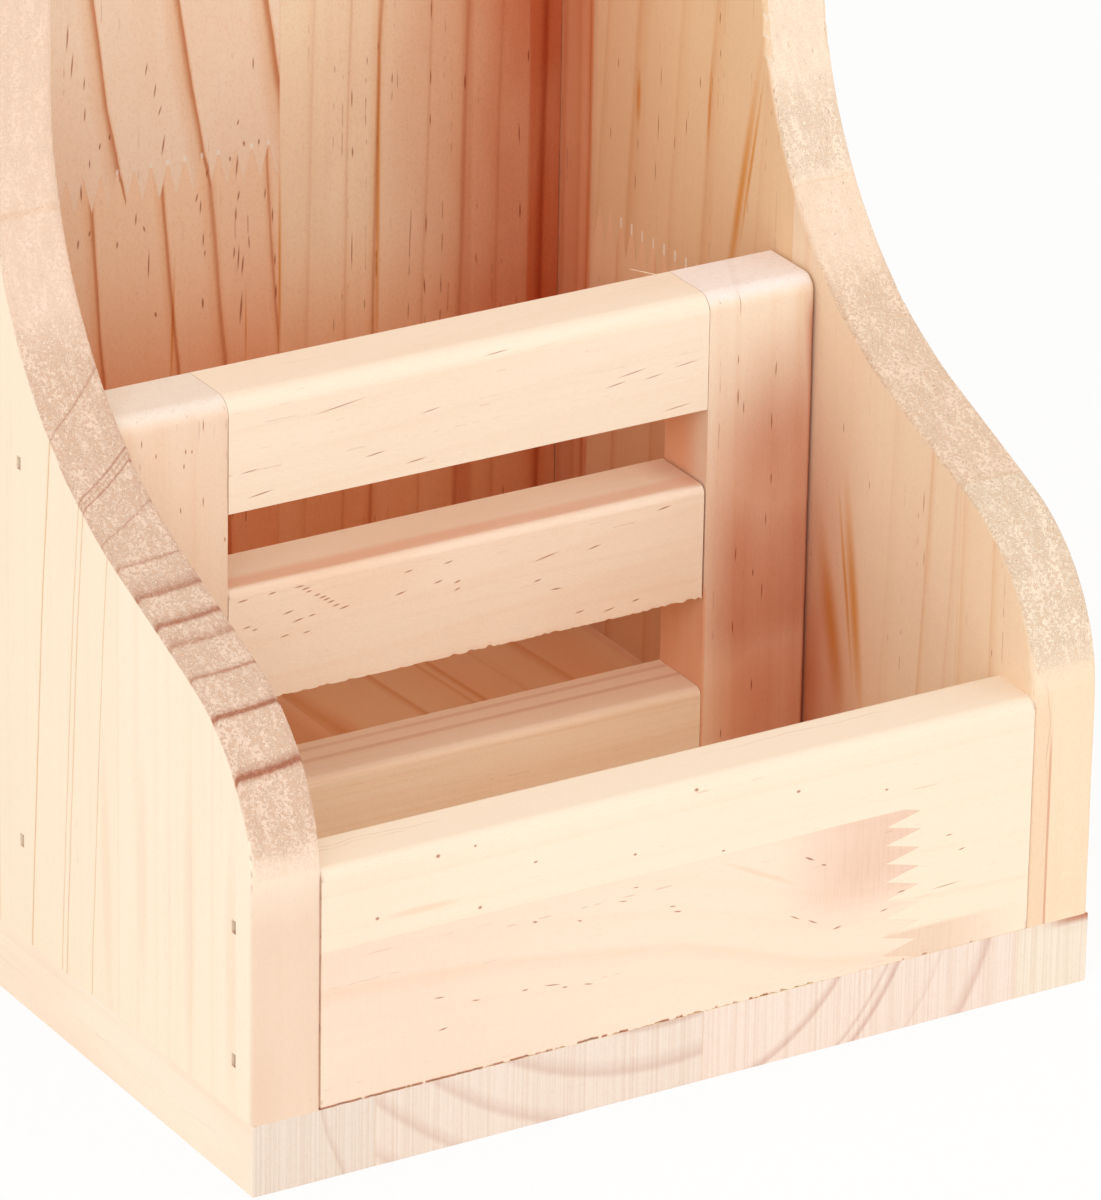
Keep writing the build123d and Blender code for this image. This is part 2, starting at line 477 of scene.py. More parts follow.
        blotch = self.noise(16, 16, 45, 2)
        pinker = nodes.mix(0.5, side, colour(look.blush))
        wood = nodes.mix(nodes.smooth(blotch, 0.42, 0.68) * board.mottle, side, pinker)
        if board.blushes:
            blushed = self.marks(board.blushes, 0.3) * board.blush
            wood = nodes.mix(blushed, wood, colour(look.blush))
        wood = nodes.mix(end, wood, cut)
        # Orange wood, and painted shade that warms and darkens the wood deep in the box
        if board.orange_and_shade_zones:
            orange_and_shade = self.zone_share(board.orange_and_shade_zones) * (blotch * 0.8 + 0.6)
            wood = nodes.stain(orange_and_shade, wood, look.orange_and_shade)
        # Red heartwood, and painted shade that darkens the inner faces towards the box's corners and
        # floor
        if board.heart_and_shade_zones:
            heart_and_shade = self.zone_share(board.heart_and_shade_zones) * (blotch * 0.8 + 0.6)
            wood = nodes.stain(heart_and_shade, wood, look.heart_and_shade)
            if board.planed:
                ripple = nodes.smooth(self.noise(7, 400, 0.3), 0.45, 0.65) * heart_and_shade * board.planed
                wood = nodes.stain(ripple, wood, look.saw)
        streaky = nodes.smooth(self.noise(1.3, 1.3, 80, 1, 0.6), 0.5, 0.8) * board.streaky
        wood = nodes.stain(streaky, wood, look.streak)
        late_tone = nodes.mix(end, colour(look.late), colour(look.late_end))
        wood = nodes.mix(late, wood, late_tone, "MULTIPLY")
        wood = nodes.stain(rim, wood, look.rim)
        if board.flank:
            wood = nodes.stain(self.flank, wood, look.rim)
        if board.streaks:
            wood = nodes.stain(self.marks(board.streaks, 0.0), wood, look.amber)
        return wood

    def dashes_and_chip_shade(self):
        """Resin canals, dark flecks and the painted shade in a chipped edge.

        The canals are fine tubes that run along the grain and dip in and out of a face.
        """
        nodes, board = self.nodes, self.board
        dip = self.noise(10, 60, 15, 2, 0.6)
        tubes = nodes.vector(self.wavy / CANAL_PITCH, self.through / CANAL_PITCH + dip * CANAL_DIP, 0.0)
        settings = {"voronoi_dimensions": "2D", "feature": "F1"}
        canal = nodes.add("ShaderNodeTexVoronoi", settings, {"Vector": tubes, "Scale": 1.0})
        own = nodes.add("ShaderNodeSeparateColor", values={0: canal.other("Color")})
        dash_and_shade = nodes.smooth(canal, 0.085, 0.03) * nodes.smooth(self.patchy, 0.4, 0.62)
        dash_and_shade = dash_and_shade * (own * 0.8 + 0.2) * board.canals
        if board.flecks:
            dash_and_shade = dash_and_shade.most(self.marks(board.flecks, 0.2) * FLECK_SHARE)
        # Painted shade: a broken dark line where the chipped lower edge meets the base
        if board.split:
            height, start, stop = board.split
            gap = nodes.noise(nodes.vector(self.along / 2.4, height, 0.0), 2, 0.6)
            gap = gap - nodes.smooth(self.along, start, stop, 0.34, 0.62)
            edge = nodes.smooth(
                self.across + (self.quick - 0.5) * 0.5, height + 0.25, height - 0.05
            )
            dash_and_shade = dash_and_shade.most(edge * nodes.smooth(gap, -0.02, 0.04) * CHIP_SHADE_SHARE)
        return dash_and_shade

    def torn(self, pore):
        """How deeply end grain is torn into curls, pits and a fine stipple, from its pores; its
        darkness is partly painted shade of the relief, the stipple wholly so.
        """
        nodes, board = self.nodes, self.board
        patch = self.noise(6, 1.7, 6, 1)
        curl = nodes.smooth(abs(pore - 0.5), 0.09, 0.02) * (nodes.smooth(patch, 0.3, 0.65) * 0.4 + 0.12)
        pit = nodes.smooth(pore, 0.64, 0.72) * nodes.smooth(patch, 0.47, 0.6)
        # Painted shade: a fine stipple that darkens end grain where its relief would shade
        painted_stipple_shade = nodes.smooth(self.noise(0.6, 0.6, 0.6, 2, 0.75), 0.5, 0.6)
        torn = curl.most(pit).most(painted_stipple_shade * 0.62) * self.end * board.torn
        if board.coarse:
            torn = torn * self.zone_share(board.coarse)
        return torn

    def material(self):
        """The board's material, with the marks on its wood and its relief."""
        nodes, board, look, fibre = self.nodes, self.board, self.look, self.fibre
        wood = self.coloured()
        wood = nodes.stain(self.dashes_and_chip_shade(), wood, look.resin_and_chip_shade)

        # Torn end grain with painted shade in its relief, the glue between blocks and the finest grain
        pore = self.noise(0.5, 0.42, 0.5, 2, 0.6)
        torn = self.torn(pore)
        wood = nodes.stain(torn, wood, look.torn)
        for line in board.glue:
            seam = nodes.smooth(abs(self.across + (fibre - 0.5) * 0.2 - line), 0.28, 0.05)
            wood = nodes.stain(seam * GLUE_LINE_SHARE, wood, look.streak)
        if self.tips is not None and board.tips:
            wood = nodes.mix(self.tips * board.tips, wood, colour(look.glue))
        fine = self.noise(0.17, 0.17, 1.4, 1, 0.6)
        grit = self.noise(0.3, 0.3, 0.5, 2, 0.75)
        speckled = nodes.smooth(grit, 0.5, 0.7) * board.grit
        speckled = speckled + nodes.smooth(fine, 0.52, 0.75) * FINE_SHARE
        wood = nodes.stain(speckled, wood, look.streak)

        # Relief: fibres, torn cells and saw marks
        height = fibre * 0.35 + fine * 0.25 + grit * (0.3 + board.grit)
        height = height - (pore * 0.8 + torn * TORN_RELIEF) * self.end * (0.4 + board.torn)
        if board.sawn:
            saw = nodes.noise(nodes.stretch(self.place, 0.45, 400, 90), 2, 0.7)
            saw_mark = nodes.smooth(saw, 0.4, 0.7) * self.end * board.sawn
            wood = nodes.stain(saw_mark, wood, look.saw)
            height = height - saw_mark * SAW_RELIEF
        values = {"Strength": RELIEF_STRENGTH, "Distance": RELIEF_DEPTH, "Height": height}
        bump = nodes.add("ShaderNodeBump", values=values)

        rough = ROUGHNESS + fibre * 0.12 + self.end * 0.12
        values = {"Base Color": wood, "Roughness": rough, "Normal": bump}
        values["Specular IOR Level"] = SPECULAR
        surface = nodes.add("ShaderNodeBsdfPrincipled", values=values)
        nodes.add("ShaderNodeOutputMaterial", values={0: surface})
        return nodes.owner


def colour(values):
    """A colour property as four numbers."""
    return (*values[:3], 1.0)


def tinted(values, tint):
    """A colour property multiplied by a tint, as four numbers."""
    return (*(value * share for value, share in zip(values, tint)), 1.0)


# Ramps that pick out one face or edge, for the zones

FRONT_EDGE = ("Y", -78, -79)
LEFT_EDGE = ("Y", -77.5, -78.9)
RIGHT_INSIDE = ("X", 65, 64.4)
BACK_INSIDE = ("Y", 68.5, 67.3)
STILE_FACE = ("Y", -8, -12)
STILE_INSIDE = (("X", 42, 43), ("X", 44.6, 44.1))
RAIL_TOP = (("Y", -12.4, -11.4), ("Y", -7.5, -9.5), ("Z", 67.4, 67.7))


# How each board is cut

BASE = Board(
    grain="YXZ", shown=BASE_TOP,
    blocks=(
        Block(
            across=-76, pith=(-5, 25),
            rings=((-64, 1, 0.5, 0.3),),
            tint=(1.03, 1.06, 1.08), ends=(0.872, 0.894, 0.967),
        ),
        Block(
            across=-54.5, pith=(-2, 60),
            rings=(
                (-3, 3.4, 0.5, 0.42, 0.7, 0.5), (-29, 2.4, 0.6, 0.36, 0.8, 0.4),
                (-43, 2, 0.6, 0.32, 0.8, 0.4), (-54, 1.8, 0.6, 0.32, 0.8, 0.3), (-63, 2, 0.5, 0.3, 1),
            ),
            wander=((-79, 0), (79, -6)), tint=(1.04, 1.08, 0.98), ends=(0.911, 0.929, 1.011),
        ),
        Block(
            across=4.1, pith=(4, 30),
            rings=(
                (15.8, 3, 0.7, 0, 2), (31, 1.2, 0.7, 0.5, 0.5, 0.3), (40.5, 0.7, 0.6, 0.45, 0.4),
                (42.4, 0.8, 0.7, 0.55, 0.5, 0.3), (51, 1, 0.3, 0.2, 0.3),
                (59.5, 2, 0.6, 0.45, 0.7, 0.2),
            ),
            wander=((-79, 0), (79, -14)), tint=(1.04, 1.08, 0.94), ends=(0.95, 0.953, 1.04),
        ),
        Block(
            across=62.5, pith=(60, -40),
            rings=((82, 6, 0.5, 0.3, 0.3),),
            tint=(1.02, 1.01, 0.97), ends=(0.951, 1, 1.05),
        ),
    ),
    glue=(-54.5, 4.1, 62.5),
    heart_and_shade_zones=((1, ("Y", -78.3, -78.9), ("X", 67, 74), ("Z", 10.4, 11.7)),),
    # Painted shade: the floor of the box turns orange and darker behind the divider
    orange_and_shade_zones=((0.66, ("Y", -14, 4), ("Z", 11.6, 11.9), ("X", -64.5, -63.5), ("X", 64.5, 63.5)),),
    canals=0.12, sawn=0.6, mottle=0.45, streaky=0.15, grit=0.16, drift=0.4, torn=0, rim=0.15,
)

LEFT_SIDE = Board(
    grain="ZYX", shown=OUTER_LEFT,
    blocks=(
        Block(
            across=-79, pith=(20, -74.7),
            rings=(
                (-73.2, 1, 0.03, 1, 0.5, 0.3), (-66.2, 0.9, 0.05, 0.95, 0.5, 0.3),
                (-59.5, 0.8, 0.05, 0.6, 0.5, 0.2), (-52.9, 2.6, 0.04, 0.45, 0.6, 0.2),
                (-48.6, 1.8, 0.04, 0.8, 0.6, 0.3), (-42.7, 2.6, 0.05, 0.65, 0.6, 0.3),
                (-36.6, 1.2, 0.08, 0.55, 0.5),
            ),
            tint=(1.02, 1.06, 1.05),
        ),
        Block(
            across=-35.6, pith=(60, -117),
            rings=(
                (-34, 0.3, 0.6, 0, 0.2), (-32.1, 0.5, 0, 0.4, 0.5), (-25.8, 0.4, 0.6, 0.8, 0.2),
                (-25, 0.4, 0, 0.4, 0.2), (-24.2, 0.3, 0.5, 0.8, 0.3), (-14.3, 0.4, 0.8, 0.5, 0.2),
            ),
            wander=((12, 6.6), (30, 5.2), (50, 3.9), (75, 1.9), (93, 0), (110, -1.6), (200, -8)),
            tint=(1.02, 1.04, 1.01),
        ),
        Block(
            across=2.9, pith=(-60, -40),
            rings=even(4, 60, 8, fade=2.5, face=0.4, end=0.1),
            wander=((12, 0), (200, 6)), tint=(1.02, 1.02, 0.98),
        ),
        Block(
            across=57, pith=(90, -20),
            rings=even(58, 79, 5, fade=2, face=0.5, end=0.2),
            tint=(0.99, 0.93, 0.88),
        ),
    ),
    blushes=(
        (35, -72, 60, 4.5, 0), (38, -59, 62, 5, 0), (40, -44.2, 52, 4.2, 0), (35, -32.5, 56, 4, 2),
    ),
    blush=0.28,
    heart_and_shade_zones=(
        (0.34, LEFT_EDGE, ("Z", 62, 42)),
        (0.3, LEFT_EDGE, ("Z", 62, 42), ("X", -67.5, -65.5)),
        (0.06, ("X", -66, -65)),
    ),
    glue=(2.9, 57), canals=0.12, mottle=0.1, streaky=0.1, grit=0.16, drift=0.15,
    end_tint=(0.966, 0.872, 0.848), cut=(0.03, 0.3), upright=118, rim=0.8, torn=1,
    coarse=((1, ("Z", 43, 50), ("Z", 122, 108)), (0.35,)),
)

RIGHT_SIDE = Board(
    grain="ZYX", shown=INNER_RIGHT,
    blocks=(
        Block(
            across=-79, pith=(-150, 20),
            rings=((-66, 2, 0.3, 0), (-57, 2, 0.2, 0)),
            tint=(0.98, 0.91, 0.81), ends=(1.02, 1.01, 0.98),
        ),
        Block(
            across=-56.3, pith=(-150, 20),
            rings=((-54.2, 1.6, 0.25, 0), (-47, 1.4, 0.4, 0), (-36, 3, 0.1, 0), (-8, 2, 0.2, 0)),
            wander=((12, 3.5), (60, 0), (120, -2)), tint=(0.974, 0.925, 0.857),
            ends=(1.01, 0.945, 0.905),
        ),
        Block(
            across=-5.3, pith=(-90, 20),
            rings=((8, 2.4, 0.3, 0), (22, 3, 0.35, 0), (36, 2.6, 0.35, 0), (48, 2, 0.4, 0)),
            wander=((12, 2), (95, 0)), tint=(1, 0.85, 0.7), ends=(1.03, 1.02, 0.99),
        ),
        Block(
            across=-5.3, along=82.4, pith=(-160, 40),
            rings=(
                (4, 2.4, 0.15, 0), (20, 3.6, 0.35, 0, 1.2), (30, 2.6, 0.2, 0, 0.8), (43, 4, 0.4, 0, 1),
                (53, 2.2, 0.25, 0),
            ),
            wander=((82, 3), (110, 1), (140, -1.5), (200, -6)), tint=(0.945, 0.825, 0.65),
            ends=(1.03, 1.01, 0.99),
        ),
        Block(
            across=57, pith=(90, 20),
            rings=((58, 0.6, 0.9, 0, 0.4), *even(61, 79, 4.4, fade=2, face=0.4, end=0.1)),
            tint=(0.955, 0.82, 0.7), ends=(1, 0.955, 0.885),
        ),
    ),
    joint=(3.41, 6.5, 1.2),
    flecks=(
        (134, 18, 3, 0.4, 0), (128, 17.6, 2, 0.3, 0), (121, 23.5, 3, 0.35, 0), (112, 27.5, 4, 0.35, 0),
        (108, 31, 3, 0.3, 0), (118, 35.6, 4.5, 0.3, 0), (109, 36.2, 6, 0.35, 0), (101, 36.8, 5, 0.3, 0),
        (104, 42.4, 3, 0.3, 0), (97, 43, 4, 0.35, 0), (116, 49, 2.5, 0.35, 0), (103, 51, 3, 0.3, 0),
        (73, -45.8, 5, 0.35, 0), (63.5, -46.4, 4, 0.3, 0), (70, -30, 2, 0.3, 0), (77, -22, 2.4, 0.3, 0),
        (55, -66.5, 2, 0.3, 0),
    ),
    streaks=(
        (48, -26.5, 54, 4.4, 9), (50, -24, 44, 1.6, 10), (42, -20, 44, 7, 14),
        (106, 10.5, 66, 3.4, -11), (112, 7.6, 42, 1.4, -11), (112, 42.5, 14, 2.2, 0),
        (118, 20.5, 24, 1.4, -3),
    ),
    # Painted shade: the inner face darkens towards the divider, the floor and the back corner, where
    # the last stave is also redder wood
    heart_and_shade_zones=(
        (0.95, RIGHT_INSIDE, ("Y", -38, -14), ("Y", -10, -13), ("Z", 105, 20)),
        (0.24, RIGHT_INSIDE, ("Y", -66, -24), ("Z", 90, 40)),
        (0.42, RIGHT_INSIDE, ("Y", 53, 58)),
        (0.3, RIGHT_INSIDE, ("Y", -13, 10), ("Z", 105, 60)),
        (0.17, RIGHT_INSIDE, ("Y", 26, 48)),
        (0.1, FRONT_EDGE, ("X", 67.7, 67.4), ("Z", 55, 48)),
        (0.55, FRONT_EDGE, ("X", 67.9, 67.6), ("X", 67.2, 67.4), ("Z", 48, 40)),
    ),
    # The inner face's rear stave: redder wood, with painted shade in the back corner
    orange_and_shade_zones=((0.585, RIGHT_INSIDE, ("Y", 56.9, 57.1)),),
    glue=(-56.3, -5.3, 57), canals=0.5, mottle=0.4, streaky=0.12, grit=0.3, cut=(0.03, 0.3),
    upright=118, torn=0.9,
    coarse=((1, ("Z", 47, 62), ("Z", 108, 96)), (0.8, ("Z", 111, 116), ("Z", 134, 122)), (0.3,)),
    tips=0.85, tip_length=1.9,
)

BACK = Board(
    grain="ZXY", shown=BACK_FACE,
    blocks=(
        Block(
            across=-64, pith=(-160, 100),
            rings=(
                (-57, 2.5, 0.5, 0.5, 0.8), (-46, 2.5, 0.5, 0.5, 0.8), (-34.5, 2, 0.5, 0.5, 0.6),
                (-23.2, 2.2, 0.7, 0.5, 0.5), (-10.4, 1.8, 0.75, 0.5, 0.5), (-1.8, 2.6, 0.55, 0.5, 1.2),
                (9, 1.2, 0.6, 0.5, 1),
            ),
            wander=((12, 4), (70, 1.2), (85, 0), (103, -1.6)), tint=(1.04, 0.91, 0.8),
        ),
        Block(
            across=-64, along=100, pith=(-160, 100),
            rings=(
                (-52, 3, 0.5), (-36, 3, 0.5), (-21.6, 3.4, 0.7, 0.5, 0.4), (-6.2, 3.6, 0.75, 0.5, 0.4),
                (9.8, 4, 0.8),
            ),
            wander=((100, 3.6), (106, 2.4), (118, 0), (136, -2.4), (160, -5.5), (200, -12)),
            tint=(1.04, 1, 0.98),
        ),
        Block(
            across=10.2, pith=(-100, 120),
            rings=(
                (16.5, 3, 0.12), (23.6, 1, 0.2, 0.5, 1), (29.3, 1.6, 0.5, 0.5, 1.2),
                (38.8, 1.2, 0.2, 0.5, 1), (46, 2.6, 0.34, 0.5, 1.6), (53, 2, 0.2, 0.5, 1),
                (61.4, 3.6, 0.62, 0.5, 3),
            ),
            wander=((12, -1.5), (75, -1), (125, 0), (200, 1)), tint=(1.04, 1.01, 0.91),
        ),
    ),
    flecks=(
        (131, -29, 6, 0.45, 4), (126, -28.2, 6, 0.45, 5), (122.5, -26, 3, 0.4, 3),
        (117.2, -25.9, 3.3, 0.4, 4), (112.5, -21.4, 1.4, 0.5, 4), (111.2, -23.2, 1.7, 0.5, 8),
        (108.5, -25.1, 2.1, 0.4, 2), (103.7, -26.7, 4.2, 0.5, -2), (96.4, -25.2, 1.5, 0.5, 13),
        (94.9, -27.3, 2.4, 0.5, 5), (93.4, -20.1, 1.7, 0.5, 3), (97.3, -16.6, 2.9, 0.45, 3),
        (95.3, -15.1, 1.6, 0.5, -13), (88.8, -14.3, 6.7, 0.4, 2), (79.8, -13, 1.5, 0.6, -8),
        (123, -14.6, 3, 0.4, 10), (119, -13, 3.4, 0.4, 8), (115.4, -12.1, 2.5, 0.4, 18),
        (109.3, -11.5, 4.6, 0.5, 9), (98.9, -5.3, 2.2, 0.5, 13), (97.2, -4.6, 3.4, 0.4, 3),
        (91.4, -4.1, 3.4, 0.4, 2), (88.9, -3.8, 1.5, 0.4, 4), (80.1, -4.2, 2.9, 0.6, -3),
        (102.9, -3.4, 1.9, 0.4, 7), (104.6, 0.9, 1.4, 0.5, -5), (103.1, 2.2, 5.3, 0.5, 5),
        (97.8, 2.5, 2.5, 0.5, 12), (94.6, 2, 3.4, 0.5, 2), (87.9, 1.7, 3, 0.45, 4),
        (86.8, 2.5, 6.3, 0.45, 3), (85.4, 3.3, 4.9, 0.5, 5), (77.8, 3, 7.5, 0.6, 4),
        (89.3, 4.5, 3.3, 0.35, -3), (110.7, 2.4, 1.4, 0.5, 12), (106.8, 3.5, 1.4, 0.6, -5),
        (106.6, 6.3, 1.6, 0.5, 4), (120.5, 5.2, 3, 0.4, 0), (97.3, 7.5, 2.6, 0.35, 3),
        (93.2, 8.9, 3.6, 0.4, 1), (85.2, 9.4, 2.9, 0.4, 1), (79.5, 9.6, 3.5, 0.5, 0),
        (111, 23.8, 4.4, 0.4, 0), (101.5, 24, 2.6, 0.45, 0), (84, 24, 9, 0.35, 0),
        (124, 38.8, 5, 0.35, 0), (112, 38.8, 4, 0.35, 0), (104.5, 38.8, 3, 0.35, 0),
        (86, 38.2, 5, 0.4, 0), (75, 38, 4, 0.45, -4), (110, 45.4, 4, 0.5, 0), (112.5, 57.6, 3, 0.5, 0),
        (99, 56, 5, 0.4, -3), (85, 56.4, 4, 0.5, 0),
    ),
    streaks=(
        (84, 10.3, 48, 0.9, 0), (95, 28.9, 96, 1.2, 0), (76, -9.9, 34, 0.8, 2), (74, 3.9, 22, 0.5, 0),
    ),
    # Painted shade: the inner face darkens towards the right corner and the floor, with dark red bands
    # of heartwood near the corner
    heart_and_shade_zones=(
        (0.75, BACK_INSIDE, ("X", 16, 62), ("Z", 40, 72)),
        (0.42, BACK_INSIDE, ("X", 24, 60)),
        (0.12, BACK_INSIDE, ("Z", 125, 55)),
        (0.66, BACK_INSIDE, ("X", 42, 45.6), ("X", 49.6, 46.4)),
        (1, BACK_INSIDE, ("X", 56, 58.5), ("Z", 40, 72)),
        (0.5, BACK_INSIDE, ("X", 55.5, 59.5)),
    ),
    # Painted shade: the inner face turns orange towards the floor and the right
    orange_and_shade_zones=((1, BACK_INSIDE, ("Z", 96, 52)), (0.45, BACK_INSIDE, ("X", 24, 58))),
    glue=(10.2,), canals=0.75, mottle=0.5, streaky=0.12, grit=0.5, rim=1.5, flank=0.2, tips=1,
    tip_length=0.9,
)

FRONT_BOARD = Board(
    grain="XZY", shown=FRONT,
    blocks=(
        Block(
            across=12, pith=(-20, -60),
            rings=((18.5, 1.4, 0.04), (24, 2.4, 0.16, 0.4, 1.2), (30.5, 2.4, 0.05), (36, 2, 0.06)),
            wander=(
                (-64, 7.5), (-40, 6), (-20, 3.5), (0, 0), (10, -3), (18, -6.5), (25, -8.5), (40, -11),
            ),
            tint=(1, 0.955, 0.95),
        ),
        Block(
            across=12, along=37, pith=(-20, -60),
            rings=((22, 1, 0.1), (30, 1, 0.06)),
            wander=((37, 1), (64, -1)), tint=(1, 1, 0.98),
        ),
        Block(
            across=38.4, pith=(90, -70),
            rings=((41, 1.4, 0.05), (47.5, 1.4, 0.08)),
            wander=((-64, 0.4), (64, -0.4)), tint=(1, 1, 0.985),
        ),
    ),
    joint=(3.19, 6.3, 0.9),
    flecks=(
        (48.8, 32, 1.8, 0.3, 3), (51.3, 29, 1.8, 0.35, 10), (48.5, 23.3, 7, 0.22, 2),
        (40.2, 24.2, 2.2, 0.3, 4), (37, 21.7, 2, 0.3, 10), (22.9, 33.9, 2.6, 0.5, -28),
        (25.6, 32.2, 1.4, 0.4, -20), (-44, 50, 1.1, 0.9, 0), (-37.5, 50.2, 0.7, 0.6, 0),
        (1.9, 50.5, 1.1, 0.8, 0), (20.5, 46, 1.1, 0.7, 0), (-26.8, 45, 1.1, 0.5, 0),
        (-54.5, 42, 1, 0.8, 0), (-36.5, 39.6, 1, 0.8, 0), (-9, 42.1, 0.9, 0.6, 0), (7, 39, 0.9, 0.5, 0),
        (36.8, 42.6, 0.9, 0.5, 0), (-26.7, 34.8, 1.2, 0.5, -10), (-18.7, 33.1, 1.2, 0.35, -20),
        (-11, 34.6, 2.2, 0.25, -8), (-8.7, 36.4, 1.4, 0.25, -8), (-2, 31.6, 1.6, 0.3, -8),
        (-1.1, 30.5, 2, 0.35, -12), (-37, 24, 2, 0.3, -8), (-28.3, 23.6, 1.6, 0.35, 0),
        (-23.5, 23.3, 4, 0.3, -8), (-21.2, 22.4, 1.4, 0.35, -8), (-17, 21.9, 2.4, 0.3, -12),
        (-42.8, 20.5, 2.2, 0.4, 8), (-43.5, 26, 2.6, 0.3, -6), (20.5, 24.3, 2.6, 0.3, -28),
        (23.8, 22.8, 2.6, 0.35, -28), (28.4, 20.7, 2.2, 0.4, 10),
    ),
    blushes=((-46.5, 41.8, 17, 1.6, 0), (14, 33.4, 20, 1.2, -27)),
    heart_and_shade_zones=(
        (0.24, FRONT_EDGE, ("X", 15, 34), ("joint", 0.9, 0.1), ("Z", 19, 29), ("Z", 38.5, 38.3)),
        (0.26, FRONT_EDGE, ("joint", 0.1, 0.9), ("Z", 17.6, 16.6), ("X", 66, 44)),
        (0.09, FRONT_EDGE, ("X", 10, -60), ("Z", 38.5, 38.3)),
        (0.05, FRONT_EDGE, ("X", -20, -62)),
    ),
    # The saw-chipped lower edge is painted dark as shade from -64 mm to 20 mm along the board
    flank=0.3, split=(12.3, -64, 20), planed=1, canals=0.3, mottle=0.1, streaky=0.08, grit=0.12,
    drift=0.4, blush=0.5, rim=0, tips=0,
)

TOP_RAIL = Board(
    grain="XZY", shown=DIVIDER_FACE,
    blocks=(
        Block(
            across=81, pith=(20, -60),
            rings=even(78, 106, 6.5, fade=2, face=0.05, end=0.3),
            wander=((-44, -4), (44, 4)), tint=(1.02, 1.03, 1.03),
        ),
    ),
    flecks=(
        (-24, 95.3, 12, 0.25, 7), (-40, 87.6, 4.5, 0.25, 5), (-38, 83.4, 6, 0.35, 7),
        (-17.5, 85.9, 5, 0.3, 6), (-10, 83.3, 5, 0.3, 6), (-7.5, 91.3, 5, 0.22, 8),
        (4.5, 98.6, 6, 0.22, 3), (29.5, 90.2, 7, 0.25, 7), (26.5, 88.8, 5, 0.25, 7),
        (33.5, 88.8, 5, 0.22, 6), (39.5, 89.8, 6, 0.22, 5), (38, 82.6, 7, 0.25, 5),
    ),
    canals=0.25, mottle=0.2, streaky=0.1, grit=0.15, rim=0.1,
)

MIDDLE_RAIL = Board(
    grain="XZY", shown=DIVIDER_FACE,
    blocks=(
        Block(
            across=48, pith=(-10, 20),
            rings=(
                (43, 2, 0.08, 0.4, 0.8), (53.5, 2.2, 0.08, 0.4, 0.8), (61, 2.6, 0.08, 0.4, 0.8),
                (69.5, 1.2, 0.2, 0.4, 0.6),
            ),
            wander=((-44, -3), (0, -1), (44, 5)), tint=(1.04, 1, 1),
        ),
    ),
    flecks=(
        (-41.2, 65.8, 2.6, 0.4, 5), (-35.9, 66, 2, 0.4, 6), (-31, 66.1, 2.4, 0.35, 0),
        (-29.9, 65.5, 2.2, 0.4, 5), (-29.3, 64.9, 1.6, 0.35, 5), (-27.8, 64, 1.6, 0.4, 8),
        (-26.8, 63.4, 1.8, 0.4, 8), (-26.1, 62.9, 1.8, 0.4, 8), (-25.3, 62.3, 1.8, 0.4, 8),
        (-24.4, 61.5, 1.8, 0.4, 8), (-22.9, 60.8, 2.6, 0.4, 8), (-33, 62.1, 2.6, 0.4, 10),
        (-31.2, 60.4, 2.8, 0.4, 10), (-28.7, 60.7, 1.8, 0.35, 8), (-33.6, 58.2, 2.2, 0.35, 8),
        (-29.7, 58, 1.8, 0.35, 8), (-40.4, 61.1, 2, 0.35, 8), (-39, 60.4, 1.4, 0.35, 8),
        (-12.7, 61, 2.8, 0.4, 10), (-11.3, 64.5, 2.2, 0.35, 6), (-5.8, 61.5, 2.2, 0.4, 10),
        (-2.3, 60.8, 1.8, 0.45, 14), (-2.3, 59.5, 1.6, 0.4, 18), (-4, 64.5, 2.4, 0.35, 8),
        (12.5, 57.8, 2, 0.4, 10), (14, 61.6, 6, 0.35, 10), (16, 55.6, 2.8, 0.4, -4),
        (23, 61.4, 3.4, 0.35, 10), (36, 65.5, 3.4, 0.4, 8), (31, 50.4, 2, 0.4, 10),
        (26, 49.8, 3, 0.35, 8), (20.5, 50.6, 2.4, 0.35, 6),
    ),
    # Painted shade in the top's corner by the right stile, and a red band along the top
    heart_and_shade_zones=((0.13, *RAIL_TOP), (0.35, ("X", 36, 44), ("Z", 67.4, 67.7))),
    orange_and_shade_zones=((0.34, *RAIL_TOP),),
    canals=0.2, mottle=0.6, streaky=0.15, grit=0.25, rim=0.1,
)

BOTTOM_RAIL = Board(
    grain="XZY", shown=DIVIDER_FACE,
    blocks=(
        Block(
            across=12, pith=(90, 15),
            rings=((31.2, 1.5, 0.2, 0.4, 0.4), (24, 3, 0.1, 0.4, 0.5), (16, 3, 0.1, 0.4, 0.5)),
            wander=((-44, 0.6), (44, -0.6)), tint=(1.02, 0.97, 0.92),
        ),
    ),
    heart_and_shade_zones=(
        (0.4, ("Y", -7.6, -6.6), ("Y", -5.4, -6.2), ("Z", 31.4, 31.8)),
        (0.34, ("Y", -3.6, -3), ("Y", -1.6, -2.4), ("Z", 31.4, 31.8)),
        (0.12, ("Z", 31.4, 31.8)),
        (0.12, ("Z", 31, 12)),
    ),
    canals=0.2, mottle=0.4, streaky=0.3, grit=0.2, rim=0.2,
)

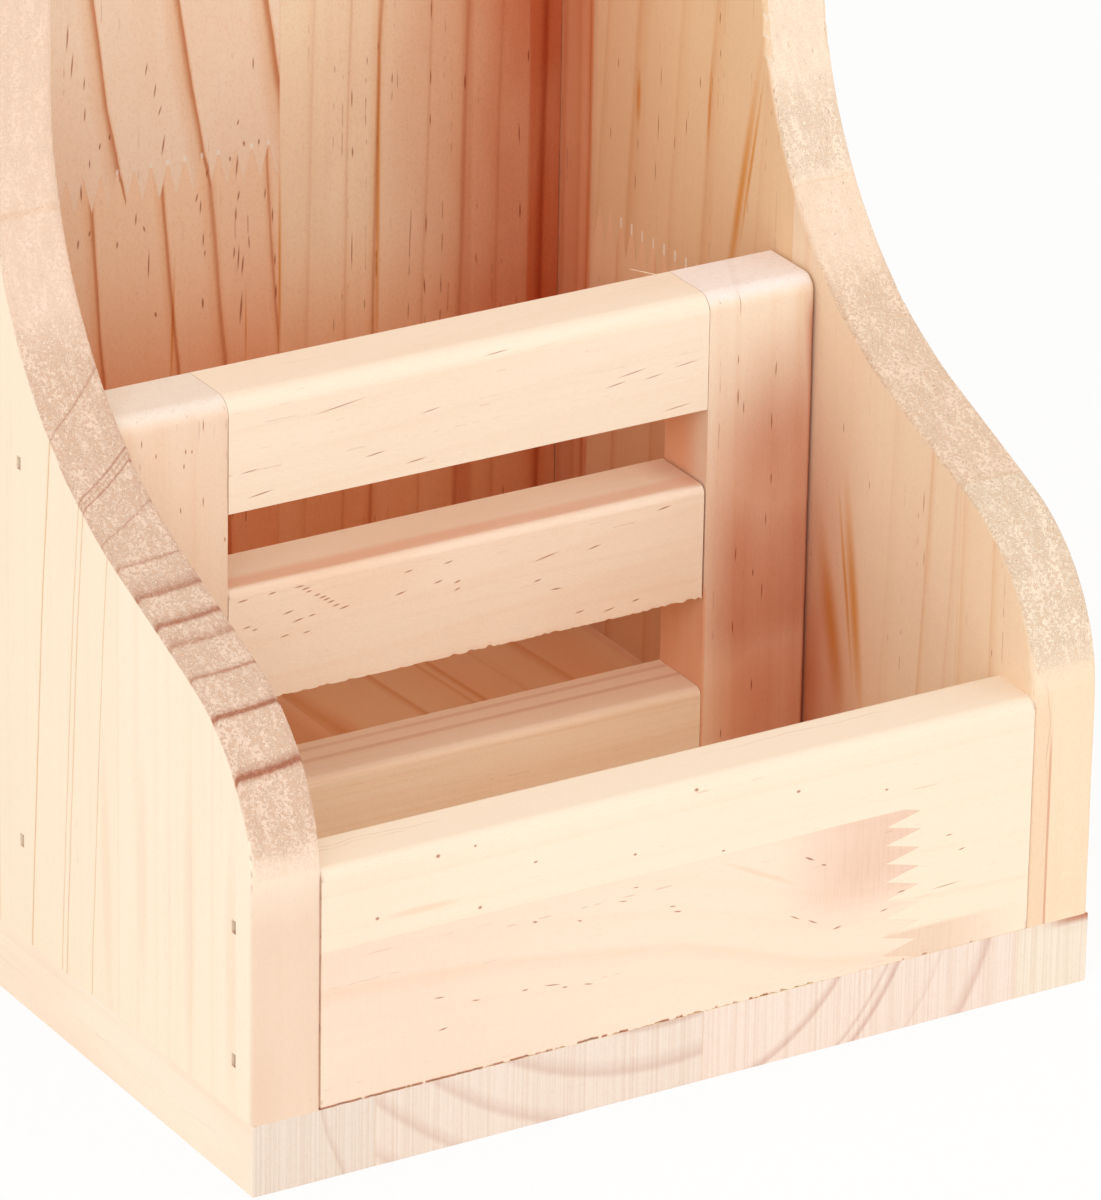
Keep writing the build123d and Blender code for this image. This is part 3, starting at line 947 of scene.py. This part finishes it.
STILE = Board(
    grain="ZXY", shown=DIVIDER_FACE,
    blocks=(
        Block(
            across=-64, pith=(-150, -60),
            rings=even(-66, -42, 5.5, fade=1.6, face=0.1, end=0),
            tint=(0.95, 0.874, 0.846), ends=(0.969, 0.997, 1.07),
        ),
        Block(
            across=0, pith=(120, -40),
            rings=(
                (61.5, 2.6, 0.2, 0, 1.5), (56.6, 1.6, 0.12, 0, 0.8), (49.6, 1.2, 0.15, 0.12, 0.6),
                (46.2, 2, 0.08, 0, 0.8),
            ),
            wander=((12, 0.8), (100, -0.8)), tint=(1, 0.965, 0.94), ends=(1.03, 1.08, 1.24),
        ),
    ),
    flecks=(
        (93.5, -56.5, 1.2, 0.35, 0), (97, -48.2, 2.8, 0.3, 0), (93.2, -51.3, 1.2, 0.4, 0),
        (90.8, -51.6, 1.2, 0.4, 0), (93, -50.2, 0.9, 0.35, 0), (83.5, -52.2, 1.4, 0.35, 0),
        (84.2, -48.2, 2.4, 0.3, 0), (77, -44.4, 1.2, 0.35, 0), (96, -59, 1.8, 0.3, 0),
        (98, 49.6, 5, 0.2, 2), (88.5, 49.4, 2.4, 0.3, 0), (85.5, 56.6, 3.6, 0.35, 2),
        (82, 49.5, 4.2, 0.4, 0), (80, 50.6, 3.2, 0.3, 0), (76.5, 56, 4, 0.3, 0),
        (66.5, 56.2, 2.6, 0.35, 0), (54.5, 49.8, 3.4, 0.35, 2), (59.5, 55.4, 3, 0.3, 0),
        (50.5, 53.2, 1.8, 0.4, 0), (41.5, 49.6, 3.6, 0.35, -3), (47, 55, 4, 0.3, 0),
        (30.5, 53.5, 3, 0.4, 0), (23, 47.8, 2.4, 0.35, 0),
    ),
    # Painted shade: the right stile darkens towards its foot and towards the side panel, and its inner
    # side is shaded
    heart_and_shade_zones=(
        (0.62, STILE_FACE, ("X", 38, 56), ("Z", 98, 72)),
        (0.8, STILE_FACE, ("X", 38, 52), ("Z", 84, 52), ("Z", 22, 44)),
        (0.9, STILE_FACE, ("X", 61, 64), ("Z", 100, 92)),
        (0.22, *STILE_INSIDE, ("Z", 81.6, 80.6)),
    ),
    # Painted shade: the right stile turns orange and darker low down and on its inner side
    orange_and_shade_zones=(
        (0.35, ("X", 38, 52), ("Z", 84, 66)),
        (0.6, ("X", 38, 52), ("Z", 50, 28)),
        (0.8, *STILE_INSIDE, ("Y", -12.6, -5), ("Z", 81.6, 80.6)),
        (0.7, *STILE_INSIDE, ("Z", 52, 48)),
    ),
    canals=0.35, mottle=0.5, streaky=0.12, grit=0.28, rim=0.1, torn=0.15,
)


# How each board is worked


class Work(NamedTuple):
    """A board's slot and cut, and how its mesh is worked, in millimetres and degrees.

    pitch is how far apart it is sliced along X, Y and Z, torn is how far along the saw chipped its
    lower arris, and tight says at which ends, -1 and 1, it is driven up against its neighbour.
    Faces that turn by less than flat are one face, edges stay sharp from sharp on, and the arrises
    along the grain are eased or not.
    """

    slot: str
    board: Board
    pitch: tuple
    torn: float = None
    tight: tuple = ()
    flat: float = 0.5
    sharp: float = 40
    eased: bool = True


CURVED = {"flat": 0.05, "sharp": 75, "eased": False}
BOARDS = {
    "base_board": Work("base_pine", BASE, (4, 4, 0)),
    "left_side_panel": Work("side_pine", LEFT_SIDE, (3, 5, 3), **CURVED),
    "right_side_panel": Work("side_pine", RIGHT_SIDE, (3, 5, 3), **CURVED),
    "back_panel": Work("back_pine", BACK, (6, 0, 6)),
    "front_board": Work("front_pine", FRONT_BOARD, (0.4, 0, 4), torn=26, tight=(-1, 1)),
    "divider_top_rail": Work("divider_pine", TOP_RAIL, (1.5, 0, 0), tight=(-1, 1)),
    "divider_middle_rail": Work("divider_pine", MIDDLE_RAIL, (0.4, 0, 0), torn=43, tight=(-1,)),
    "divider_bottom_rail": Work("divider_pine", BOTTOM_RAIL, (1.5, 0, 0), tight=(-1, 1)),
    "divider_left_stile": Work("divider_pine", STILE, (0, 0, 1.5)),
    "divider_right_stile": Work("divider_pine", STILE, (0, 0, 1.5)),
}

# The reach of a saw chip, and its waves: strength, length, and what sets each wave apart
CHIP_REACH = 1.2 * MM
CHIP_WAVES = ((0.3, 7, 900, 3.0), (0.8, 1.7, 900, 5.0), (0.7, 0.7, 700, 9.0))

# How long the sanding's waves are, and how far a tight end is driven past the board's own
SANDING_WAVE = 9 * MM
DRIVEN = 0.2 * MM

# How close, in metres, points are one, lie on an outer face and lie on a cut
WELD = 1e-6
ON_FACE = 1e-5
ON_CUT = 1e-7

# Splinters: place along the rail, tilt from upright, share of the longest, and turn
SPLINTERS = ((41.8, -68, 1.0, 3), (41.9, -84, 0.45, 8))
SPLINTER_ROOT = 0.17 * MM
SPLINTER_TIP = 0.06 * MM
SPLINTER_FLATNESS = 0.45


# Boards


def arrises(mesh, grain):
    """The straight outer edges that run along a board's grain, where two outer faces meet."""
    corners = [vert.co for vert in mesh.verts]
    limits = [(min(c[i] for c in corners), max(c[i] for c in corners)) for i in range(3)]
    found = []
    for edge in mesh.edges:
        ends = [vert.co for vert in edge.verts]
        run = ends[1] - ends[0]
        outer = 0
        for i in range(3):
            outer += any(max(abs(end[i] - limit) for end in ends) < ON_FACE for limit in limits[i])
        if outer >= 2 and abs(run["XYZ".index(grain)]) > 0.99 * run.length:
            found.append(edge)
    return found


def slice_mesh(mesh, axis, places):
    """Cut a mesh through at each place along an axis, given in metres."""
    normal = Vector([float(axis == i) for i in range(3)])
    for place in places:
        bmesh.ops.bisect_plane(
            mesh,
            geom=[*mesh.verts, *mesh.edges, *mesh.faces],
            dist=ON_CUT,
            plane_co=normal * place,
            plane_no=normal,
        )


def evenly(low, high, pitch):
    """Places between low and high, a pitch apart, starting half a pitch in."""
    count = int((high - low) / pitch)
    return [low + (i + 0.5) * (high - low) / count for i in range(count)]


def sand(mesh, depth, length):
    """Wear a board's upright faces unevenly by hand sanding: every point sinks by up to depth."""
    mesh.normal_update()
    moves = []
    for vert in mesh.verts:
        share = 0.5 + 0.5 * noise.noise(vert.co / length)
        moves.append(Vector((vert.normal.x, vert.normal.y, 0)) * (-depth * share))
    for vert, move in zip(mesh.verts, moves):
        vert.co += move


def tear(mesh, low, front, depth, until):
    """Chip a board's lower front arris, as a saw leaves it, up to a place along the board."""
    for vert in mesh.verts:
        above = vert.co.z - low
        behind = vert.co.y - front
        if above > CHIP_REACH or behind > CHIP_REACH or vert.co.x > until:
            continue
        chip = 0.0
        for strength, length, apart, seed in CHIP_WAVES:
            place = Vector((vert.co.x / (length * MM), low * apart, seed))
            chip += strength * noise.noise(place)
        share = max(0.0, chip + 0.1) * (1 - above / CHIP_REACH) * (1 - behind / CHIP_REACH)
        vert.co += Vector((0, 0.5, 1.0)) * (depth * share)


def make_board(node):
    """Make a board from its CAD node: eased, chipped, sanded and driven up as BOARDS says."""
    wear = bpy.context.scene.feeder_wear
    work = BOARDS[node]
    mesh = bmesh.new()
    mesh.from_mesh(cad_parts[node].data)
    bmesh.ops.remove_doubles(mesh, verts=mesh.verts, dist=WELD)
    flat = radians(work.flat)
    bmesh.ops.dissolve_limit(mesh, angle_limit=flat, verts=mesh.verts, edges=mesh.edges)
    low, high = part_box(node)
    if work.eased:
        bmesh.ops.bevel(
            mesh,
            geom=arrises(mesh, work.board.grain[0]),
            offset=wear.arris,
            affect="EDGES",
            segments=2,
            profile=0.5,
            material=-1,
        )
    for axis, step in enumerate(work.pitch):
        if step:
            slice_mesh(mesh, axis, evenly(low[axis], high[axis], step * MM))
    if work.torn:
        slice_mesh(mesh, 1, [low.y + 0.5 * MM, low.y + CHIP_REACH])
        slice_mesh(mesh, 2, [low.z + 0.4 * MM, low.z + 0.8 * MM, low.z + CHIP_REACH])
        tear(mesh, low.z, low.y, wear.tear, work.torn * MM)
    sand(mesh, wear.sanding, SANDING_WAVE)
    for side in work.tight:
        for vert in mesh.verts:
            if vert.co.x * side > high.x - 0.3 * MM:
                vert.co.x = side * (high.x + DRIVEN)
    wood = Timber(node + " pine", work.board).material()
    piece = finish_piece(mesh, node + ".pine", wood, work.slot, work.sharp)
    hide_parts(node)


def finish_piece(mesh, name, material, slot, sharp=40):
    """Make a mesh a piece of the feeder, with smooth faces between its sharp edges.

    sharp is the angle between two faces, in degrees, from which their edge stays sharp.
    """
    for face in mesh.faces:
        face.smooth = True
    for edge in mesh.edges:
        edge.smooth = not edge.is_manifold or edge.calc_face_angle() < radians(sharp)
    data = bpy.data.meshes.new(name)
    mesh.to_mesh(data)
    mesh.free()
    data.materials.append(material)
    piece = bpy.data.objects.new(name, data)
    bpy.context.scene.collection.objects.link(piece)
    modifier = piece.modifiers.new("Weighted Normal", "WEIGHTED_NORMAL")
    modifier.keep_sharp = True
    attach(piece, BODY)
    return piece


# The dark tarnish on the brads
TARNISH = (0.30, 0.24, 0.18, 1)

# The stage, in metres, the colour of its even light and how far the floor fades to white
ROOM_COLOUR = (1.0, 0.985, 0.96, 1)
LAMP_SIZE = 0.9
LAMP_AIM = 0.09
FLOOR_RADIUS = 4.0
FLOOR_WHITE = 0.85


# What a user would change


def colour_setting(name, description, default):
    """A colour to set."""
    return bpy.props.FloatVectorProperty(
        name=name, description=description, default=default, subtype="COLOR", min=0, max=1
    )


def number_setting(name, description, default, **kind):
    """A number to set, of a kind that Blender shows with its unit."""
    return bpy.props.FloatProperty(name=name, description=description, default=default, **kind)


def length_setting(name, description, default, low, high):
    """A length to set, from values in millimetres."""
    limits = {"min": low * MM, "max": high * MM, "unit": "LENGTH"}
    return number_setting(name, description, default * MM, **limits)


class FEEDER_PG_pine(bpy.types.PropertyGroup):
    """The colours of the pine."""

    early: colour_setting("Early Wood", "The pale wood between the rings", (0.96, 0.805, 0.65))
    late: colour_setting(
        "Late Wood", "What the tan bands of late wood multiply the early wood by", (0.86, 0.62, 0.42)
    )
    late_end: colour_setting(
        "Late Wood on End Grain",
        "What the bands of late wood multiply the end grain by",
        (0.70, 0.52, 0.48),
    )
    rim: colour_setting(
        "Ring Edge",
        "What the dark line at the edge of a ring multiplies the wood by",
        (0.72, 0.48, 0.37),
    )
    blush: colour_setting("Blush", "The pinker wood in blotches", (0.92, 0.63, 0.44))
    streak: colour_setting("Streak", "What fine streaks multiply the wood by", (0.90, 0.77, 0.64))
    amber: colour_setting(
        "Amber Streak", "What broad resinous streaks multiply the wood by", (0.84, 0.54, 0.22)
    )
    # The torn grain's own colour and painted shade of its pits and stipple
    torn: colour_setting(
        "Torn Grain", "What pits in end grain multiply the wood by", (0.72, 0.54, 0.42)
    )
    # Painted shade as well as red heartwood: its zones darken the inner faces towards the box's corners
    # and floor
    heart_and_shade: colour_setting("Heartwood", "What red heartwood multiplies the wood by", (0.60, 0.24, 0.15))
    # Painted shade as well as orange wood: it warms and darkens the wood deep in the box
    orange_and_shade: colour_setting(
        "Orange Wood",
        "What wood that has turned orange in the depths of the box multiplies by",
        (0.98, 0.60, 0.42),
    )
    saw: colour_setting(
        "Saw Marks", "What saw marks on the base's ends multiply the wood by", (0.86, 0.79, 0.72)
    )
    # Also paints the shade in the chipped lower edge of the front board
    resin_and_chip_shade: colour_setting("Resin", "What resin canals multiply the wood by", (0.42, 0.17, 0.10))
    glue: colour_setting("Glue", "The glue at the tips of the finger joints", (1.0, 0.93, 0.84))


class FEEDER_PG_wear(bpy.types.PropertyGroup):
    """How the boards are eased and worn, and how the brads look."""

    arris: length_setting("Arris", "How far sharp edges are eased", 0.1, 0.01, 0.4)
    sanding: length_setting("Sanding", "How unevenly the surfaces are sanded", 0.14, 0, 0.5)
    tear: length_setting("Tear", "How far the saw chipped the lower edges", 0.4, 0, 1.5)
    splinter: length_setting("Splinter", "The length of the longest splinter on the divider", 6.2, 1, 8)
    steel: colour_setting("Brad Steel", "The colour of the brads", (0.62, 0.53, 0.43))


class FEEDER_PG_stage(bpy.types.PropertyGroup):
    """The camera, the lamps and the floor."""

    aim: bpy.props.FloatVectorProperty(
        name="Aim",
        description="The point that the camera looks at",
        default=(-0.024978, -0.079, 0.088260),
        subtype="TRANSLATION",
        unit="LENGTH",
        precision=5,
    )
    distance: number_setting(
        "Distance", "How far the camera is from that point", 1.33394, unit="LENGTH"
    )
    azimuth: number_setting(
        "Azimuth",
        "The camera's angle round the feeder, from the front towards the right",
        radians(-31.2458),
        subtype="ANGLE",
    )
    elevation: number_setting(
        "Elevation", "The camera's angle above the floor", radians(24.0538), subtype="ANGLE"
    )
    roll: number_setting("Roll", "How far the camera leans", radians(0.9575), subtype="ANGLE")
    lens: number_setting(
        "Lens", "The camera's focal length in millimetres, on a sensor 36 mm high", 266.512
    )
    key: number_setting("Key Lamp", "The power of the large lamp in front", 5.1, unit="POWER")
    fill: number_setting("Fill Lamp", "The power of the lamp on the right", 2.2, unit="POWER")
    sky: number_setting("Room Light", "The strength of the even light from all round", 0.88)
    floor: colour_setting("Floor", "The colour of the floor", (0.96, 0.955, 0.945))


# Operators


class FEEDER_OT_base(bpy.types.Operator):
    """Make the base board"""

    bl_idname = "feeder.base"
    bl_label = "Base Board"

    def execute(self, context):
        make_board("base_board")
        return {"FINISHED"}


class FEEDER_OT_sides(bpy.types.Operator):
    """Make both side panels"""

    bl_idname = "feeder.sides"
    bl_label = "Side Panels"

    def execute(self, context):
        for side in ("left", "right"):
            make_board(f"{side}_side_panel")
        return {"FINISHED"}


class FEEDER_OT_back(bpy.types.Operator):
    """Make the back panel"""

    bl_idname = "feeder.back"
    bl_label = "Back Panel"

    def execute(self, context):
        make_board("back_panel")
        return {"FINISHED"}


class FEEDER_OT_front(bpy.types.Operator):
    """Make the front board, with its saw-torn lower edge"""

    bl_idname = "feeder.front"
    bl_label = "Front Board"

    def execute(self, context):
        make_board("front_board")
        return {"FINISHED"}


class FEEDER_OT_divider(bpy.types.Operator):
    """Make the slatted divider's rails and stiles"""

    bl_idname = "feeder.divider"
    bl_label = "Divider"

    def execute(self, context):
        for part in ("top_rail", "middle_rail", "bottom_rail", "left_stile", "right_stile"):
            make_board(f"divider_{part}")
        return {"FINISHED"}


class FEEDER_OT_splinters(bpy.types.Operator):
    """Leave two splinters on the back arris of the divider's top rail"""

    bl_idname = "feeder.splinters"
    bl_label = "Splinters"

    def execute(self, context):
        longest = context.scene.feeder_wear.splinter
        _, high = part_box("divider_top_rail")
        mesh = bmesh.new()
        for along, lift, length, turn in SPLINTERS:
            root = Vector((along * MM, high.y - 0.35 * MM, high.z - 0.3 * MM))
            tilt = Matrix.Rotation(radians(turn), 4, "Z") @ Matrix.Rotation(radians(lift), 4, "Y")
            sliver = bmesh.ops.create_cone(
                mesh,
                cap_ends=True,
                segments=6,
                radius1=SPLINTER_ROOT,
                radius2=SPLINTER_TIP,
                depth=longest * length,
                matrix=Matrix.Translation(Vector((0, 0, longest * length / 2))),
            )["verts"]
            bmesh.ops.scale(mesh, verts=sliver, vec=(SPLINTER_FLATNESS, 1, 1))
            bmesh.ops.transform(mesh, verts=sliver, matrix=Matrix.Translation(root) @ tilt)
        wood = Timber("splinter pine", TOP_RAIL).material()
        finish_piece(mesh, "divider_splinters", wood, "divider_pine")
        return {"FINISHED"}


class FEEDER_OT_brads(bpy.types.Operator):
    """Give the brads their steel"""

    bl_idname = "feeder.brads"
    bl_label = "Brads"

    def execute(self, context):
        wear = context.scene.feeder_wear
        nodes = Nodes(bpy.data.materials.new("brad steel"))
        place = nodes.add("ShaderNodeTexCoord", output="Object")
        grain = nodes.noise(nodes.stretch(place, 0.4 * MM, 0.4 * MM, 0.4 * MM), 3, 0.6)
        steel = nodes.mix(nodes.smooth(grain, 0.4, 0.7), colour(wear.steel), TARNISH)
        values = {"Strength": 0.5, "Distance": 0.05 * MM, "Height": grain}
        bump = nodes.add("ShaderNodeBump", values=values)
        values = {"Base Color": steel, "Roughness": 0.4 + grain * 0.2, "Metallic": 0.45, "Normal": bump}
        surface = nodes.add("ShaderNodeBsdfPrincipled", values=values)
        nodes.add("ShaderNodeOutputMaterial", values={0: surface})
        for name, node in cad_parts.items():
            if "brads" in name:
                node.material_slots[0].material = nodes.owner
        return {"FINISHED"}


class FEEDER_OT_stage(bpy.types.Operator):
    """Set up the camera, the lamps, the floor and the white background"""

    bl_idname = "feeder.stage"
    bl_label = "Stage"

    def execute(self, context):
        stage = context.scene.feeder_stage
        context.scene.view_settings.view_transform = "Standard"
        place_camera(context, stage)
        place_lamp(context, "Key Lamp", stage.key, Vector((-0.95, -1.0, 0.9)))
        place_lamp(context, "Fill Lamp", stage.fill, Vector((0.9, -0.9, 0.6)))
        lay_floor(context, stage)
        light_world(context, stage)
        return {"FINISHED"}


def place_camera(context, stage):
    """Put the camera where the photograph was taken from."""
    away = Vector((
        sin(stage.azimuth) * cos(stage.elevation),
        -cos(stage.azimuth) * cos(stage.elevation),
        sin(stage.elevation),
    ))
    right = (-away).cross(Vector((0, 0, 1))).normalized()
    turn = Matrix((right, away.cross(right), away)).transposed() @ Matrix.Rotation(stage.roll, 3, "Z")
    data = bpy.data.cameras.new("Camera")
    data.sensor_width = 36
    data.lens = stage.lens
    data.clip_end = 100
    camera = bpy.data.objects.new("Camera", data)
    camera.matrix_world = Matrix.Translation(Vector(stage.aim) + away * stage.distance) @ turn.to_4x4()
    context.scene.collection.objects.link(camera)
    context.scene.camera = camera


def place_lamp(context, name, power, place):
    """Hang a square area lamp at a place, aimed at the middle of the feeder."""
    data = bpy.data.lights.new(name, "AREA")
    data.energy = power
    data.size = LAMP_SIZE
    lamp = bpy.data.objects.new(name, data)
    aim = place - Vector((0, 0, LAMP_AIM))
    lamp.matrix_world = Matrix.Translation(place) @ aim.to_track_quat("Z", "Y").to_matrix().to_4x4()
    context.scene.collection.objects.link(lamp)


def lay_floor(context, stage):
    """Lay a pale floor that keeps the feeder's soft shadow."""
    mesh = bmesh.new()
    bmesh.ops.create_circle(mesh, cap_ends=True, segments=96, radius=FLOOR_RADIUS)
    data = bpy.data.meshes.new("Floor")
    mesh.to_mesh(data)
    mesh.free()
    nodes = Nodes(bpy.data.materials.new("pale floor"))
    shade = nodes.add("ShaderNodeBsdfDiffuse", values={"Color": colour(stage.floor)})
    white = nodes.add("ShaderNodeEmission", values={"Color": (1, 1, 1, 1), "Strength": 1.0})
    seen = straight_rays(nodes) * FLOOR_WHITE
    surface = nodes.add("ShaderNodeMixShader", values={0: seen, 1: shade, 2: white})
    nodes.add("ShaderNodeOutputMaterial", values={0: surface})
    data.materials.append(nodes.owner)
    floor = bpy.data.objects.new("Floor", data)
    context.scene.collection.objects.link(floor)


def straight_rays(nodes):
    """One for a ray that should see the plain background: straight, reflected or through glass."""
    path = nodes.add("ShaderNodeLightPath", output="Is Camera Ray")
    seen = path + path.other("Is Glossy Ray") + path.other("Is Transmission Ray")
    return seen.least(1.0)


def light_world(context, stage):
    """Light the scene evenly from all round, and show white behind it."""
    world = bpy.data.worlds.new("Studio")
    nodes = Nodes(world)
    light = nodes.add("ShaderNodeBackground", values={"Color": ROOM_COLOUR, "Strength": stage.sky})
    white = nodes.add("ShaderNodeBackground", values={"Color": (1, 1, 1, 1), "Strength": 1.0})
    seen = nodes.add("ShaderNodeMixShader", values={0: straight_rays(nodes), 1: light, 2: white})
    nodes.add("ShaderNodeOutputWorld", values={0: seen})
    context.scene.world = world


class FEEDER_PT_panel(bpy.types.Panel):
    """Buttons and settings for the feeder."""

    bl_idname = "FEEDER_PT_panel"
    bl_label = "Pine Feeder"
    bl_space_type = "VIEW_3D"
    bl_region_type = "UI"
    bl_category = "Feeder"

    def draw(self, context):
        for operator in OPERATORS:
            self.layout.operator(operator.bl_idname)
        for group in (context.scene.feeder_pine, context.scene.feeder_wear, context.scene.feeder_stage):
            box = self.layout.box()
            for name in group.__annotations__:
                box.prop(group, name)


OPERATORS = (
    FEEDER_OT_base,
    FEEDER_OT_sides,
    FEEDER_OT_back,
    FEEDER_OT_front,
    FEEDER_OT_divider,
    FEEDER_OT_splinters,
    FEEDER_OT_brads,
    FEEDER_OT_stage,
)
CLASSES = (FEEDER_PG_pine, FEEDER_PG_wear, FEEDER_PG_stage, *OPERATORS, FEEDER_PT_panel)


def register():
    for cls in CLASSES:
        bpy.utils.register_class(cls)
    bpy.types.Scene.feeder_pine = bpy.props.PointerProperty(type=FEEDER_PG_pine)
    bpy.types.Scene.feeder_wear = bpy.props.PointerProperty(type=FEEDER_PG_wear)
    bpy.types.Scene.feeder_stage = bpy.props.PointerProperty(type=FEEDER_PG_stage)


def unregister():
    del bpy.types.Scene.feeder_stage
    del bpy.types.Scene.feeder_wear
    del bpy.types.Scene.feeder_pine
    for cls in reversed(CLASSES):
        bpy.utils.unregister_class(cls)


def main():
    """Make every piece and the stage."""
    register()
    bpy.ops.feeder.base()
    bpy.ops.feeder.sides()
    bpy.ops.feeder.back()
    bpy.ops.feeder.front()
    bpy.ops.feeder.divider()
    bpy.ops.feeder.splinters()
    bpy.ops.feeder.brads()
    bpy.ops.feeder.stage()


if __name__ == "__main__":
    main()
